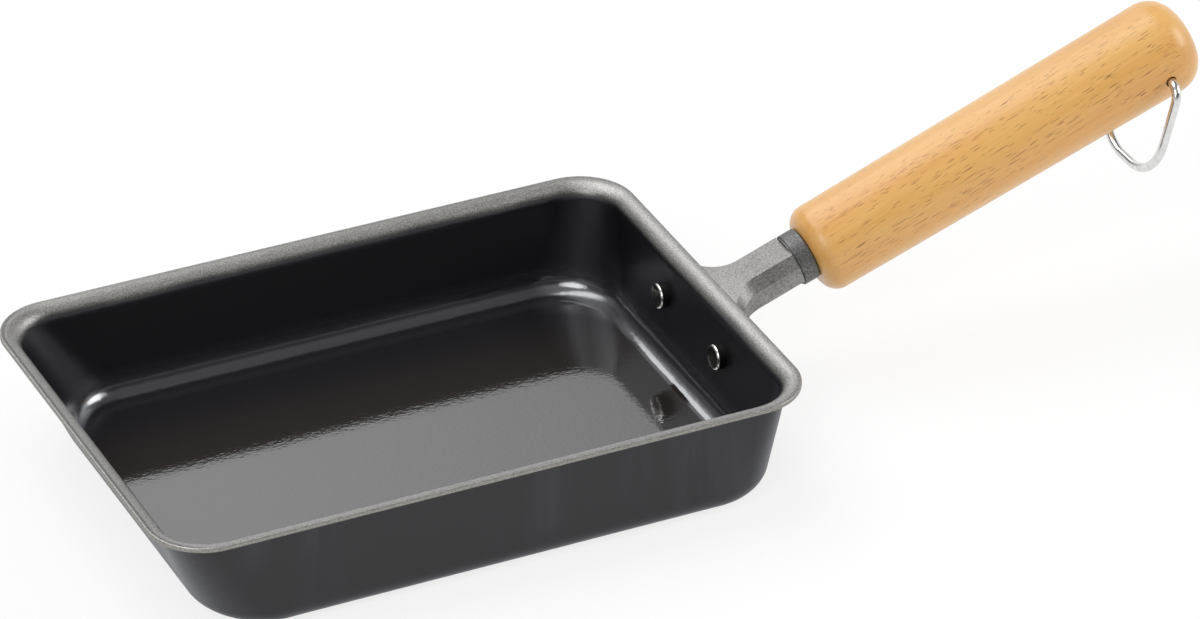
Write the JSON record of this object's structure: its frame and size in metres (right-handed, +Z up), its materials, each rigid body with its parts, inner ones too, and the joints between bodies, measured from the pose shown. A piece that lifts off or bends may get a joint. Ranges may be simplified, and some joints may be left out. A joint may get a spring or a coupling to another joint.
{
  "type": "tamagoyaki pan",
  "caption": "Rectangular omelette pan of pressed steel with a flared lip, a sloped front wall, a riveted bracket, and a turned wooden grip with a swinging wire hanging ring.",
  "frame": {"origin": "on the underside of the base, below the middle of the rim", "axes": "+X along the pan towards the handle's tail, +Z up out of the pan, +Y to the left of the handle"},
  "size_m": [0.3391, 0.136, 0.0868],
  "materials": {
    "coated_steel": "dark glossy coat inside, bare fine-grained lip, dark satin outside",
    "cast_metal": "fine-blasted casting",
    "rivet_metal": "polished",
    "ferrule_steel": "turned",
    "stud_steel": "plain",
    "beech": "satin varnish",
    "bright_wire": "bright drawn"
  },
  "bodies": {
    "pan": {"pan_body": "coated_steel", "handle_bracket": "cast_metal", "rivet_left": "rivet_metal", "rivet_right": "rivet_metal", "ferrule": "ferrule_steel", "grip_stud": "stud_steel", "wooden_grip": "beech"},
    "ring": {"hanging_ring": "bright_wire"}
  },
  "joints": [
    {"name": "ring_swing", "type": "hinge", "parent": "pan", "child": "ring", "pos_m": [0.23073, 0, 0.07001], "axis": [0, -1, 0], "range_deg": [-32, 263]}
  ]
}
